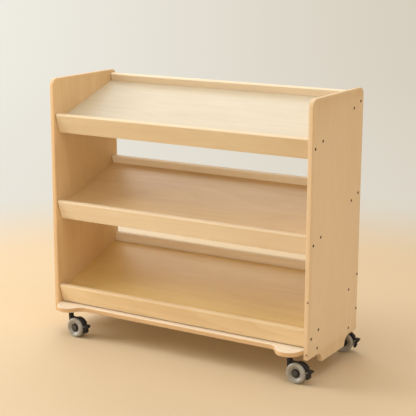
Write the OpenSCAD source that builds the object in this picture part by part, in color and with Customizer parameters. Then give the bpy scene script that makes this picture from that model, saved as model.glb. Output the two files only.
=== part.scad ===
// Mobile shelving unit: a plywood case with three inclined trays, on four braked twin-wheel casters.
// X runs along the trays, Y to the back and Z up. The origin is on the floor, below the middle of the case.

/* [Case] */
// Width over the outer faces of the side panels
case_w = 920; // [600:10:1200]
// Depth of the side panels
case_d = 340; // [320:1:380]
// Thickness of the plywood
ply = 15; // [12:0.5:18]
// Radius of the top corners of the side panels
corner_r = 22; // [10:1:40]
// Height of the side panels above the top rail
top_rise = 8.8; // [4:0.2:60]
// Radius of the eased long edges of the lips and rails
arris_r = 2.5; // [1:0.5:4]

/* [Trays] */
// Slope of the shelves, down to the front
slope = 18.5; // [12:0.5:22]
// Height from one shelf to the next
tray_pitch = 279; // [240:1:320]
// Height of the strips that make the front lips and back rails
strip_h = 62; // [50:1:70]
// Distance of the strips' outermost corners from the front and back of the case
strip_inset = 2.75; // [1:0.25:8]
// Distance from a shelf screw to the nearest end of the shelf
shelf_screw_inset = 42; // [30:1:70]

/* [Base and back] */
// Height of the base board above the lower edge of the side panels
base_rise = 45; // [40:1:60]
// Height of the rear board, which stands on the base board
rear_board_h = 169; // [150:1:200]
// Distance from the upper rear-board screw to the top of the board
rear_screw_top = 17; // [12:1:30]
// Distance from the lower rear-board screw to the bottom of the board
rear_screw_low = 42; // [20:1:60]
// Distance from the front and back of the case to the base-board screws
base_screw_inset = 61; // [40:1:80]
// Radius of the ears of the base board over the front casters
ear_r = 42; // [38:1:54]
// Depth by which an ear is cut flat where it meets the side panel
ear_flat = 0.5; // [0.5:0.5:4]
// Radius of the hollow where an ear runs into the straight front edge
ear_fillet_r = 28; // [10:1:40]
// Height of the cut-outs at the lower corners of the side panels
cut_rise = 31; // [20:1:34]
// Radius of the round end of a cut-out
cut_r = 32; // [32:1:40]
// Length of the level part of the front cut-out
cut_front = 64; // [50:1:80]
// Length of the level part of the rear cut-out
cut_rear = 56; // [52:1:70]

/* [Screws] */
// Diameter of the connector screws' heads
screw_head_d = 9; // [8:0.5:10]
// Diameter of the plain shank
screw_shank_d = 6.3; // [5:0.1:7]
// Diameter of the threaded core
screw_core_d = 4.6; // [3:0.1:4.8]
// Length of a connector screw
screw_l = 50; // [40:1:60]
// Depth of the countersunk head
screw_head_h = 3; // [2.5:0.5:4]
// Width across the flats of the hexagonal socket
socket_af = 4; // [3:0.5:4]
// Clearance between a screw and its hole, on the radius
screw_clear = 0.1; // [0.05:0.05:0.2]

/* [Casters] */
// Height of a caster from the floor to its mounting face
caster_h = 87; // [85:1:100]
// Diameter of the wheels
wheel_d = 63; // [58:1:64]
// Width of one wheel
wheel_w = 13.5; // [12:0.5:16]
// Offset of the axle from the swivel axis
trail = 27.5; // [24:0.5:28]
// Thickness of the housing's web between the wheels
web_t = 7; // [6:0.5:10]
// Gap between the web and a wheel
wheel_gap = 0.5; // [0.4:0.1:1]
// Distance from the swivel axis to the inner face of the nearest side panel
stem_side = 46; // [46:1:70]
// Distance of the front swivel axes behind the front of the case
stem_front = 5.5; // [0:0.5:12]
// Distance of the rear swivel axes from the back of the case
stem_rear = 20; // [18:1:24]
// Diameter of the threaded end of the stem
stem_d = 10; // [8:0.5:10]
// Diameter of the part of the stem that turns in the housing
pivot_d = 8; // [6:0.5:8]
// Diameter of the wheel axle
axle_d = 6; // [5:0.5:8]
// Diameter of the pin that carries the brake pedal
pin_d = 4; // [3:0.5:4]
// Running clearance on the radius of a shaft
run_clear = 0.05; // [0.02:0.01:0.1]
// Gap between the tyre and the hood
hood_gap = 0.8; // [0.6:0.1:1.2]
// Thickness of the hood where it is thickest
hood_t = 6; // [4:0.5:7]
// Width of the hood and of the brake pedal
hood_w = 17.2; // [14:0.4:22]
// Angle that a brake pedal swings through
pedal_press = 7; // [4:1:8]

/* [Hidden] */
$fn = 96;
eps = 0.01;
in_w = case_w - 2 * ply;
front = -case_d / 2;
back = case_d / 2;
base_z = caster_h;
base_top = base_z + ply;
panel_z = base_z - base_rise;

// The front lip, the shelf and the back rail lie in a frame tilted by the slope, with their screws
// on the middle plane of the shelf. Its origin is where the shelf's top meets the lip's front face.
strip_up = (strip_h - ply) / 2;
strip_down = (strip_h + ply) / 2;
tray_l = (case_d - 2 * strip_inset - strip_h * sin(slope)) / cos(slope);
tray_y = front + strip_inset + strip_up * sin(slope);
tray_z0 = base_top + strip_down * cos(slope);
function tray_z(level) = tray_z0 + level * tray_pitch;
function tray_point(level, s, n) =
    [tray_y + s * cos(slope) - n * sin(slope), tray_z(level) + s * sin(slope) + n * cos(slope)];
panel_top = tray_point(2, tray_l, strip_up)[1] + top_rise;

// The bottom shelf runs on to the rear board and meets it with its lower edge.
rear_y = back - ply;
seat_gap = 0.2;
bottom_l = (rear_y - seat_gap - tray_y - ply * sin(slope)) / cos(slope);

// Screw places on the side panels, as [y, z]
function lip_spots(level) = [tray_point(level, ply / 2, -ply / 2)];
function shelf_spots(level) = [
    tray_point(level, ply + shelf_screw_inset, -ply / 2),
    tray_point(level, tray_l - ply - shelf_screw_inset, -ply / 2)];
function rail_spots(level) = [tray_point(level, tray_l - ply / 2, -ply / 2)];
rear_spots = [
    [back - ply / 2, base_top + rear_board_h - rear_screw_top],
    [back - ply / 2, base_top + rear_screw_low]];
base_spots = [
    [front + base_screw_inset, base_z + ply / 2],
    [back - base_screw_inset, base_z + ply / 2]];
all_spots = concat(
    [for (level = [0:2]) each concat(lip_spots(level), shelf_spots(level))],
    [for (level = [1:2]) each rail_spots(level)],
    rear_spots, base_spots);
pilot_r = screw_core_d / 2 + screw_clear;
pilot_l = screw_l - ply + 2;
head_r = screw_head_d / 2;
shank_r = screw_shank_d / 2;
hole_r = shank_r + screw_clear;
screw_tip = 3;
core_r = screw_core_d / 2;
core_end = screw_l - screw_tip - seat_gap;
socket_depth = 2.4;

// Casters, as [name, x, y, heading]: the heading is where the wheels trail, turned from +X to the back.
stem_x = in_w / 2 - stem_side;
casters = [
    ["front_left", -stem_x, front + stem_front, -7],
    ["front_right", stem_x, front + stem_front, -3],
    ["rear_left", -stem_x, back - stem_rear, 14],
    ["rear_right", stem_x, back - stem_rear, 12]];
caster_pieces = ["stem", "housing", "axle", "pedal", "pedal_pin"];
wheel_pieces = ["hub", "tyre", "cap"];

// A threaded insert is let into the base board from below, and the stem is screwed up to its flange.
insert_r = stem_d / 2 + 1.6;
insert_l = 12;
flange_r = insert_r + 2;
flange_t = 1.5;
hex_t = 4;
race_t = 1.4;
race_gap = 0.3;
neck_top = base_z - flange_t - hex_t - race_t - race_gap;
neck_r = pivot_d / 2 + 4.2;

// Wheels: t is measured outwards from the middle of the caster
wheel_r = wheel_d / 2;
wheel_in = web_t / 2 + wheel_gap;
wheel_out = wheel_in + wheel_w;
tyre_in = wheel_in + 1;
tyre_out = wheel_out - 0.2;
hub_r = 13.2;
rim_t = 1.2;
barrel_r = axle_d / 2 + 4;
barrel_out = wheel_out - 4;
disc_in = wheel_in + 3.5;
disc_out = disc_in + 3;
key_r = wheel_r - 8;
cap_r = hub_r - rim_t - 2.2;
cap_t = 2.6;
cap_skirt = 1.5;

// The neck stands just above the wheels, and the pivot's blind bore stays inside it.
neck_low = wheel_r + sqrt(pow(wheel_r, 2) - pow(trail - neck_r, 2)) + 1;
pivot_low = neck_low + 1.5;

// The hood's outside is a circle set off from the axle, so that it thins out over the wheels' tops.
hood_r = wheel_r - 1.5;
hood_angle = 26;
hood_at = (wheel_r + hood_gap + hood_t - hood_r) * [cos(hood_angle), sin(hood_angle)];
hood_low = 24;
hood_high = 86;
hood_edge_r = 2.2;
web_r = wheel_r - 10;

// The brake pedal turns on a pin just outside the wheels, behind and above the axle.
eye_r = 4.2;
pin_angle = 12;
pin_at = (wheel_r + 0.6 + eye_r) * [cos(pin_angle), sin(pin_angle)];
ear_web_r = eye_r - 0.4;
slot_clear = 0.5;
slot_low = 4;

// Its shoe is laid out on the tyre as pressed, with a small gap, and then turned back about the pin.
shoe_r = wheel_r + 0.4;

// Outline of the pedal about its pin, as [x, y, corner radius]: back of the shoe, tab, eye and shoe
pedal_back = [[-11, -35.9, 0.7], [-1.5, -28.5, 8], [5.5, -22.5, 6], [8.8, -14, 6], [7.6, -5, 2.5]];
pedal_tab = [[13.6, -4.8, 1.5], [15, 2.4, 1.2], [12.2, 7.4, 2.5], [5.5, 6.2, 6]];
pedal_eye = [[-eye_r, eye_r, eye_r], [-eye_r, -1.2, 3.5], [-0.6, -8.2, 1.2]];

// Points of an outline with round corners, each given as [x, y, radius]
function unit(v) = v / norm(v);
function flat(p) = [p[0], p[1]];
function turned(v, a) = [v[0] * cos(a) - v[1] * sin(a), v[0] * sin(a) + v[1] * cos(a)];
function corner_points(a, b, c) = let (
    u = unit(flat(a) - flat(b)),
    v = unit(flat(c) - flat(b)),
    half = acos(u * v) / 2,
    middle = flat(b) + unit(u + v) * b[2] / sin(half),
    start = flat(b) + u * b[2] / tan(half) - middle,
    sweep = sign(cross(v, u)) * (180 - 2 * half),
    steps = max(2, ceil(abs(sweep) / 12)))
    b[2] == 0 ? [flat(b)] : [for (k = [0:steps]) middle + turned(start, sweep * k / steps)];
function shoe_points() = [for (a = [-3:-4.3:-46]) turned(-pin_at, pedal_press) + shoe_r * [cos(a), sin(a)]];
function soft_outline(p) =
    [for (i = [0:len(p) - 1]) each corner_points(p[(i + len(p) - 1) % len(p)], p[i], p[(i + 1) % len(p)])];

// Turns a flat outline drawn in Y and Z into a board standing across X, from x to x + t.
module across(x, t) {
    translate([x, 0, 0]) rotate([90, 0, 90]) linear_extrude(t) children();
}

// A rectangle with true round corners
module soft_rect(w, h, r) {
    translate([r, 0]) square([w - 2 * r, h]);
    translate([0, r]) square([w, h - 2 * r]);
    for (x = [r, w - r], y = [r, h - r]) translate([x, y]) circle(r);
}

// Pilot holes for the connector screws, in both ends of a board between the side panels
module pilots(spots) {
    for (side = [-1, 1], p = spots)
        translate([side * (in_w / 2 + eps), p[0], p[1]])
            rotate([0, -side * 90, 0]) cylinder(r = pilot_r, h = pilot_l);
}

// Outline of a side panel: round top corners, and cut-outs below that clear the turning casters
module side_outline() {
    difference() {
        union() {
            translate([front, panel_z]) square([case_d, panel_top - corner_r - panel_z]);
            translate([front + corner_r, panel_z]) square([case_d - 2 * corner_r, panel_top - panel_z]);
            for (y = [front + corner_r, back - corner_r])
                translate([y, panel_top - corner_r]) circle(corner_r);
        }
        for (cut = [[front, cut_front], [back, -cut_rear]]) {
            translate([cut[0] + cut[1], panel_z + cut_rise - cut_r]) circle(cut_r);
            translate([min(cut[0], cut[0] + cut[1]) - (cut[1] > 0 ? 1 : 0), panel_z - 1])
                square([abs(cut[1]) + 1, cut_rise + 1]);
        }
    }
}

// Side panel with a countersunk hole for each screw; side is -1 on the left and 1 on the right
module side_panel(side) {
    color("burlywood") difference() {
        across(side > 0 ? in_w / 2 : -case_w / 2, ply) side_outline();
        for (p = all_spots) translate([side * case_w / 2, p[0], p[1]]) rotate([0, -side * 90, 0]) {
            translate([0, 0, -1]) cylinder(r = hole_r, h = ply + 2);
            translate([0, 0, -eps]) cylinder(r1 = head_r + screw_clear, r2 = hole_r, h = screw_head_h);
        }
    }
}

// An ear of the base board: a disc that touches the panel, with a hollow where it joins the front edge
module ear() {
    ear_x = in_w / 2 - ear_r + ear_flat;
    span = ear_r + ear_fillet_r;
    run = sqrt(pow(span, 2) - pow(ear_fillet_r, 2));
    touch = ear_r / span;
    intersection() {
        union() {
            translate([ear_x, front, base_z]) cylinder(r = ear_r, h = ply);
            difference() {
                translate([0, 0, base_z]) linear_extrude(ply) polygon([
                    [ear_x, front + 1],
                    [ear_x, front],
                    [ear_x - run * touch, front - ear_fillet_r * touch],
                    [ear_x - run, front],
                    [ear_x - run, front + 1]]);
                translate([ear_x - run, front - ear_fillet_r + eps, 0])
                    cylinder(r = ear_fillet_r, h = 2 * base_z);
            }
        }
        translate([0, front - 2 * ear_r, 0]) cube([in_w / 2, 4 * ear_r, 2 * base_z]);
    }
}

// Base board between the side panels, with two ears that carry the front casters
module base_board() {
    color("wheat") difference() {
        union() {
            translate([-in_w / 2, front, base_z]) cube([in_w, case_d, ply]);
            ear();
            mirror([1, 0, 0]) ear();
        }
        pilots(base_spots);
        for (c = casters) translate([c[1], c[2], base_z - eps]) cylinder(r = insert_r, h = insert_l + eps);
    }
}

// Rear board, standing on the base board behind the bottom tray
module rear_board() {
    color("burlywood") difference() {
        translate([-in_w / 2, rear_y, base_top]) cube([in_w, ply, rear_board_h]);
        pilots(rear_spots);
    }
}

// Places a child in the tilted frame of a tray: Y runs up the slope and Z stands on the shelf.
module on_tray(level) {
    translate([0, tray_y, tray_z(level)]) rotate([slope, 0, 0]) children();
}

module shelf(level, length) {
    color("moccasin") difference() {
        on_tray(level) translate([-in_w / 2, ply, -ply]) cube([in_w, length - ply, ply]);
        pilots(shelf_spots(level));
    }
}

// A strip square to the shelf, with eased long edges: a lip where s is 0, a rail at the back
module strip(level, s, spots) {
    color("wheat") difference() {
        on_tray(level) across(-in_w / 2, in_w) translate([s, -strip_down]) soft_rect(ply, strip_h, arris_r);
        pilots(spots);
    }
}

// Connector screws of one side, with a hexagonal socket in a head that lies flush
module screws(side) {
    color("saddlebrown") for (p = all_spots)
        translate([side * case_w / 2, p[0], p[1]]) rotate([0, -side * 90, 0]) difference() {
            union() {
                cylinder(r1 = head_r, r2 = shank_r, h = screw_head_h);
                translate([0, 0, screw_head_h - eps])
                    cylinder(r = shank_r, h = ply - screw_head_h - seat_gap);
                translate([0, 0, ply - seat_gap - 2 * eps])
                    cylinder(r = core_r, h = core_end - ply + seat_gap + 2 * eps);
                translate([0, 0, core_end - eps]) cylinder(r1 = core_r, r2 = 0.4, h = screw_tip);
            }
            translate([0, 0, -eps]) cylinder(d = socket_af / cos(30), h = socket_depth, $fn = 6);
        }
}

// Flanged threaded inserts in the underside of the base board, one over each caster
module stem_inserts() {
    color("goldenrod") for (c = casters)
        translate([c[1], c[2], base_z]) difference() {
            union() {
                cylinder(r = insert_r, h = insert_l);
                translate([0, 0, -flange_t]) cylinder(r = flange_r, h = flange_t + eps);
            }
            translate([0, 0, -flange_t - eps]) cylinder(r = stem_d / 2 + run_clear, h = insert_l);
        }
}

// Stands the child at a caster, with X along its heading and Z on the swivel axis.
module at_caster(c) {
    translate([c[1], c[2], 0]) rotate([0, 0, c[3]]) children();
}

// Stands the child on the axle, with Z outwards on wheel a (side -1) or wheel b (side 1).
module at_axle(c, side = -1) {
    at_caster(c) translate([trail, 0, wheel_r]) rotate([-side * 90, 0, 0]) children();
}

// Stem: a thread up into the insert, a hexagon, a bearing race and the pivot in the housing
module stem(c) {
    hex_z = base_z - flange_t - hex_t;
    color("dimgray") at_caster(c) {
        translate([0, 0, hex_z + hex_t - eps]) cylinder(d = stem_d, h = insert_l - 1);
        translate([0, 0, hex_z]) cylinder(r = neck_r - 0.4, h = hex_t, $fn = 6);
        translate([0, 0, hex_z - race_t]) cylinder(r = neck_r - 1, h = race_t + eps);
        translate([0, 0, pivot_low + 1]) cylinder(d = pivot_d, h = hex_z - race_t - pivot_low - 1 + eps);
    }
}

// A flat wedge between two angles round the axle
module wedge(low, high) {
    polygon([[0, 0], for (a = [low:(high - low) / 4:high]) 2 * wheel_d * [cos(a), sin(a)]]);
}

// Housing: a web between the wheels, a neck round the stem and a hood over the back of the wheels
module housing(c) {
    web_back = -trail - neck_r + 0.9;
    web_front = -trail + neck_r - 0.9;
    color([0.1, 0.1, 0.1]) difference() {
        union() {
            at_axle(c) translate([0, 0, -web_t / 2]) linear_extrude(web_t) {
                circle(web_r);
                intersection() {
                    translate(hood_at) circle(hood_r - 0.3);
                    wedge(pin_angle, hood_high + 9);
                }
                translate(pin_at) circle(ear_web_r);
                polygon([
                    [web_back + 3, wheel_r * 0.25],
                    [web_back, wheel_r * 0.5],
                    [web_back, neck_top - wheel_r],
                    [web_front, neck_top - wheel_r],
                    [web_front, wheel_r + 2.5],
                    [web_front + 5, wheel_r + 0.8],
                    [0, wheel_r + 1.2],
                    [0, 0]]);
            }
            hood(c);
            at_caster(c) translate([0, 0, neck_low]) cylinder(r = neck_r, h = neck_top - neck_low);
        }
        at_caster(c) translate([0, 0, pivot_low]) cylinder(d = pivot_d + 2 * run_clear, h = caster_h);
        at_axle(c) translate([0, 0, -web_t]) cylinder(d = axle_d, h = 2 * web_t);
        at_axle(c) translate([pin_at[0], pin_at[1], -web_t]) cylinder(d = pin_d, h = 2 * web_t);
    }
}

// Hood: part of a soft-edged disc, hollowed to clear the wheels
module hood(c) {
    at_axle(c) difference() {
        intersection() {
            translate([hood_at[0], hood_at[1], 0]) rotate_extrude() {
                translate([0, -hood_w / 2]) square([hood_r - hood_edge_r, hood_w]);
                translate([0, hood_edge_r - hood_w / 2]) square([hood_r, hood_w - 2 * hood_edge_r]);
                for (y = [-1, 1])
                    translate([hood_r - hood_edge_r, y * (hood_w / 2 - hood_edge_r)]) circle(hood_edge_r);
            }
            translate([0, 0, -hood_w]) linear_extrude(2 * hood_w) wedge(hood_low, hood_high);
        }
        translate([0, 0, -hood_w]) cylinder(r = wheel_r + hood_gap, h = 2 * hood_w);
    }
}

// Axle through the web, pressed in, with a wheel on each end
module axle(c) {
    half = barrel_out + 1;
    color("silver") at_axle(c) translate([0, 0, -half]) cylinder(d = axle_d, h = 2 * half);
}

// Hub: a barrel on the axle, a disc keyed into the tyre and a rim round the cap's recess
module hub(c, side) {
    color([0.12, 0.12, 0.12]) at_axle(c, side) rotate_extrude() difference() {
        union() {
            translate([0, wheel_in]) square([barrel_r, barrel_out - wheel_in]);
            translate([0, disc_in]) square([key_r, disc_out - disc_in]);
            translate([hub_r - rim_t, tyre_in]) square([rim_t, wheel_out - 3 - tyre_in]);
        }
        square([axle_d / 2 + run_clear, 2 * wheel_out]);
    }
}

// Tyre: moulded round the hub's disc, with full shoulders and a dished outer face
module tyre(c, side) {
    shoulder = 6;
    inner = 4;
    dish_r = 32;
    dish_x = 9;
    dish_edge = wheel_r - 7.5;
    dish_y = tyre_out + sqrt(pow(dish_r, 2) - pow(dish_edge - dish_x, 2));
    color([0.68, 0.66, 0.6]) at_axle(c, side) rotate_extrude() difference() {
        union() {
            translate([hub_r, tyre_in]) square([wheel_r - shoulder - hub_r, tyre_out - tyre_in]);
            translate([wheel_r - shoulder, tyre_in + inner])
                square([shoulder, tyre_out - tyre_in - shoulder - inner]);
            translate([wheel_r - shoulder, tyre_in]) square([shoulder - inner, inner]);
            translate([wheel_r - shoulder, tyre_out - shoulder]) circle(shoulder);
            translate([wheel_r - inner, tyre_in + inner]) circle(inner);
        }
        translate([0, disc_in]) square([key_r, disc_out - disc_in]);
        translate([dish_x, dish_y]) circle(dish_r);
    }
}

// Cap over the axle's end: a shallow dome on a skirt that grips the hub's barrel
module cap(c, side) {
    color([0.3, 0.28, 0.26]) at_axle(c, side) rotate_extrude() {
        translate([barrel_r, disc_out]) square([cap_skirt, barrel_out + 1.3 - disc_out]);
        translate([0, barrel_out + 1.2]) square([cap_r, cap_t - 1]);
        intersection() {
            translate([0, barrel_out + 1.2]) square([cap_r, cap_t]);
            translate([0, barrel_out + 1.2 + cap_t - 40]) circle(40);
        }
    }
}

// Brake pedal: two cheeks on the pin, a tab to press, and a shoe that swings in against the tyres
module pedal(c) {
    color([0.08, 0.08, 0.08]) at_axle(c) difference() {
        translate([pin_at[0], pin_at[1], -hood_w / 2]) linear_extrude(hood_w)
            polygon(soft_outline(concat(
                pedal_back, pedal_tab, pedal_eye, [for (p = shoe_points()) [p[0], p[1], 0]])));
        translate([0, 0, -web_t / 2 - slot_clear]) linear_extrude(web_t + 2 * slot_clear) {
            translate(pin_at) circle(eye_r + slot_clear);
            intersection() {
                translate(hood_at) circle(hood_r + slot_clear);
                wedge(slot_low, hood_high);
            }
        }
        translate([pin_at[0], pin_at[1], -hood_w]) cylinder(d = pin_d + 2 * run_clear, h = 2 * hood_w);
    }
}

// Pin of the pedal, pressed into the housing's web
module pedal_pin(c) {
    color("silver") at_axle(c) translate([pin_at[0], pin_at[1], -hood_w / 2]) cylinder(d = pin_d, h = hood_w);
}

side_panel(-1);  // side_left
side_panel(1);  // side_right
base_board();
rear_board();
shelf(2, tray_l - ply);  // shelf_top
shelf(1, tray_l - ply);  // shelf_middle
shelf(0, bottom_l);  // shelf_bottom
strip(2, 0, lip_spots(2));  // lip_top
strip(1, 0, lip_spots(1));  // lip_middle
strip(0, 0, lip_spots(0));  // lip_bottom
strip(2, tray_l - ply, rail_spots(2));  // rail_top
strip(1, tray_l - ply, rail_spots(1));  // rail_middle
screws(-1);  // screws_left
screws(1);  // screws_right
stem_inserts();
for (c = casters) {
    stem(c);
    housing(c);
    axle(c);
    pedal(c);
    pedal_pin(c);
    hub(c, -1);
    tyre(c, -1);
    cap(c, -1);
    hub(c, 1);
    tyre(c, 1);
    cap(c, 1);
}
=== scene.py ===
import bpy
import numpy as np
from mathutils import Matrix, Vector
from mathutils.geometry import tessellate_polygon


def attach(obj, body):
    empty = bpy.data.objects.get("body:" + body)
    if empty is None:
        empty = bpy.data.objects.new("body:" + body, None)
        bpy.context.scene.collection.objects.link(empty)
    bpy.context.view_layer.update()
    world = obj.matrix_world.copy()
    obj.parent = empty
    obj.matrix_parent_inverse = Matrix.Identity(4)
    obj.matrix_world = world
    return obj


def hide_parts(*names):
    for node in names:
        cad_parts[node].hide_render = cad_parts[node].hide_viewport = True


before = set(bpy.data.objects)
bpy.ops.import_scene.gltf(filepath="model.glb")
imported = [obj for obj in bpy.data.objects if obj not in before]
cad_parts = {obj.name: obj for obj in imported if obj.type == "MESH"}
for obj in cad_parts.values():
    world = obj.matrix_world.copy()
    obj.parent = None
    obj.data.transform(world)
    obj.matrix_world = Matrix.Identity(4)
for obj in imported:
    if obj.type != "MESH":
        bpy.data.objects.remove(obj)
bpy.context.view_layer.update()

# Side panels
# Two upright panels of 15 mm plywood, faced with pale veneer and clear satin lacquer. A router cuts the
# outline and rounds every edge over, and the connector screws sit in countersunk holes drilled through
# it. The right one shows two small dark knots in its front edge.

PLY = 0.015
PLY_MM, PLIES, FACE_VENEER_MM = 1000 * PLY, 11, 0.9
IN_SIDE = 0.445
FRONT, BACK = -0.170, 0.170
PANEL_Z, PANEL_TOP = 0.042, 0.8329
PANEL_ARRIS, TOP_CORNER_R, LOW_CORNER_R = 0.0025, 0.022, 0.0025
CUT_R, CUT_Z = 0.032, 0.041
FRONT_CUT, REAR_CUT = 0.064, 0.056
BASE_Z = 0.087
SLOPE = np.radians(18.5)
TRAY_PITCH, TRAY_LENGTH = 0.279, 0.33198
TRAY_Y, TRAY_Z = -0.15979, 0.13851
UP_SLOPE = np.array([0.0, np.cos(SLOPE), np.sin(SLOPE)])
OFF_SHELF = np.array([0.0, -np.sin(SLOPE), np.cos(SLOPE)])
SHELF_SCREW, BASE_SCREW = 0.057, 0.109
REAR_SCREWS = (0.254, 0.144)
HOLE_MOUTH_R, HOLE_R, HOLE_DEPTH = 0.00475, 0.0045, 0.003
KNOT_X, KNOTS_Z = 0.4560, (0.2480, 0.0895)


def arc(centre, radius, start, end, steps):
    """Points on a circle's arc: centre plus radius times the cosine and sine of evenly spaced angles,
    which run from start to end in degrees."""
    a = np.radians(np.linspace(start, end, steps + 1))
    return np.stack([centre[0] + radius * np.cos(a), centre[1] + radius * np.sin(a)], 1)


def soft_corners(points, radii, steps=5):
    """A closed outline with each corner replaced by an arc that touches both sides: its centre lies on the
    line that halves the corner, at radius over the sine of the half angle, and it runs between the two
    touching points, which lie radius over the tangent of the half angle away. A corner of radius 0 stays
    a point."""
    p = np.asarray(points, float)
    r = np.broadcast_to(np.asarray(radii, float), len(p))[:, None]
    back = np.roll(p, 1, 0) - p
    on = np.roll(p, -1, 0) - p
    back /= np.linalg.norm(back, axis=1, keepdims=True)
    on /= np.linalg.norm(on, axis=1, keepdims=True)
    half = np.arccos(np.clip((back * on).sum(1), -1, 1))[:, None] / 2
    middle = p + (back + on) / np.linalg.norm(back + on, axis=1, keepdims=True) * r / np.sin(half)
    first = p + back * r / np.tan(half) - middle
    turn = np.sign(back[:, :1] * on[:, 1:] - back[:, 1:] * on[:, :1]) * (2 * half - np.pi)
    a = turn * np.linspace(0, 1, steps + 1)[None]
    x = middle[:, :1] + first[:, :1] * np.cos(a) - first[:, 1:] * np.sin(a)
    y = middle[:, 1:] + first[:, :1] * np.sin(a) + first[:, 1:] * np.cos(a)
    rows = np.stack([x, y], 2)
    keep = np.ones(rows.shape[:2], bool)
    keep[r[:, 0] == 0, 1:] = False
    return rows[keep]


def inset(outline, amount):
    """The outline moved inwards: each corner goes along the line that halves it, by the amount over the
    cosine of half the turn there, so that every side moves in by the amount. The cosine counts as at
    least 0.3, which holds back the sharpest corners."""
    least_cosine = 0.3
    on = np.roll(outline, -1, 0) - outline
    on /= np.linalg.norm(on, axis=1, keepdims=True)
    side = np.stack([-on[:, 1], on[:, 0]], 1)
    both = side + np.roll(side, 1, 0)
    both /= np.linalg.norm(both, axis=1, keepdims=True)
    return outline + both * amount / np.clip((both * side).sum(1), least_cosine, 1)[:, None]


def quads(rows, columns):
    """Corner numbers of the faces between the rows of a grid of points, going round each row."""
    j = np.arange(columns)
    k = (j + 1) % columns
    i = np.arange(rows - 1)[:, None] * columns
    return np.stack([i + j, i + k, i + columns + k, i + columns + j], 2).reshape(-1, 4)


def make(name, points, faces, finish, values=None):
    """Puts the points and faces into a mesh, smooth but for edges sharper than 40 degrees, with the named
    values stored at its points for the material to read."""
    sharp = np.radians(40)
    mesh = bpy.data.meshes.new(name)
    mesh.from_pydata(np.asarray(points).tolist(), [], [list(map(int, f)) for f in faces])
    for key, value in (values or {}).items():
        stored = mesh.attributes.new(key, "FLOAT", "POINT")
        stored.data.foreach_set("value", np.asarray(value, np.float32))
    mesh.polygons.foreach_set("use_smooth", np.ones(len(mesh.polygons), bool))
    mesh.set_sharp_from_angle(angle=sharp)
    mesh.materials.append(finish)
    mesh.update()
    piece = bpy.data.objects.new(name, mesh)
    bpy.context.scene.collection.objects.link(piece)
    return piece


def face_inside(rims, numbers, up):
    """Triangles that fill a flat face inside its first rim and round the others, facing up (1) or down
    (-1). Numbers gives the rims' points their corner numbers. They are filled in millimetres, and a
    triangle whose area has the wrong sign is reversed."""
    rims = [rim * 1000 for rim in rims]
    flat = np.concatenate(rims)
    number = np.concatenate(numbers)
    found = np.array(tessellate_polygon([[Vector((*p, 0)) for p in rim] for rim in rims]))
    a, b, c = flat[found[:, 0]], flat[found[:, 1]], flat[found[:, 2]]
    area = (b[:, 0] - a[:, 0]) * (c[:, 1] - a[:, 1]) - (b[:, 1] - a[:, 1]) * (c[:, 0] - a[:, 0])
    found[area * up < 0] = found[area * up < 0][:, ::-1]
    return list(number[found])


def slab(outline, thick, arris, place, sinks=(), clip=None):
    """Points, faces, edge paling and depth of a flat piece with every edge rounded over. The edge paling is
    highest on the rounded edges and at the countersinks' mouths; on veneer it becomes rubbed wear with a
    painted highlight, on nylon plain wear. The profile goes once round the outline: a strip of the lower
    face, a quarter circle of radius arris, the plain edge, a quarter circle and a strip of the upper face,
    each row being the outline moved inwards by the profile's depth. Each face is then closed inside its
    last row, round the countersinks, which are [u, v, mouth radius, hole radius, depth] in the upper face.
    Place turns [u, v, w] into the part's frame: its three directions and its origin. Clip is a direction
    and the two end planes that hold the piece between them."""
    # The second number is the edge paling at the countersinks' mouths: wear, with a painted highlight on
    # veneer.
    strip, mouth_paling, steps = 1.08 * arris, 0.6, 24
    quarter = np.radians(np.linspace(0, 90, 6))
    ins = np.concatenate([[strip], arris * (1 - np.sin(quarter))])
    ups = np.concatenate([[0.0], arris * (1 - np.cos(quarter))])
    # How pale each row of the profile is drawn: the rounded edges most, as wear and, on veneer, painted
    # highlight.
    edge_lightening = np.array([0, 0.3, 1, 1, 1, 1, 0.3])
    ins = np.concatenate([ins, ins[::-1]])
    ups = np.concatenate([ups, thick - ups[::-1]])
    edge_lightening = np.concatenate([edge_lightening, edge_lightening[::-1]])
    n = len(outline)
    loops = [inset(outline, s) for s in ins]
    points = [np.column_stack([loop, np.full(n, w)]) for loop, w in zip(loops, ups)]
    edge_paling = [np.full(n, value) for value in edge_lightening]
    faces = list(quads(len(ins), n)) + face_inside([loops[0]], [np.arange(n)], -1)
    rims, numbers, start = [loops[-1]], [np.arange(n) + (len(ins) - 1) * n], len(ins) * n
    for u, v, mouth, hole, depth in sinks:
        rim, end = (arc((u, v), radius, 0, 360, steps)[:-1] for radius in (mouth, hole))
        points += [np.column_stack([rim, np.full(steps, thick)]),
                   np.column_stack([end, np.full(steps, thick - depth)])]
        edge_paling += [np.full(steps, mouth_paling), np.zeros(steps)]
        faces += list(quads(2, steps)[:, ::-1] + start) + [np.arange(steps) + start + steps]
        rims.append(rim)
        numbers.append(np.arange(steps) + start)
        start += 2 * steps
    faces += face_inside(rims, numbers, 1)
    p = np.concatenate(points)
    depth = p[:, 2].copy()
    if clip is not None:
        p[:, clip[0]] = np.clip(p[:, clip[0]], *clip[1:])
    u, v, w, origin = (np.asarray(x, float) for x in place)
    return origin + p[:, :1] * u + p[:, 1:2] * v + p[:, 2:] * w, faces, np.concatenate(edge_paling), depth


def routed_board(name, outline, arris, place, finish, sinks=(), clip=None):
    """A slab of plywood, with the depth in millimetres at each point, from which its edges show their
    plies, and the edge paling, from which the veneer paints a highlight with wear on its rounded edges."""
    points, faces, edge_paling, depth = slab(outline, PLY, arris, place, sinks, clip)
    return make(name, points, faces, finish, {"layer_mm": depth * 1000, "arris": edge_paling})


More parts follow.
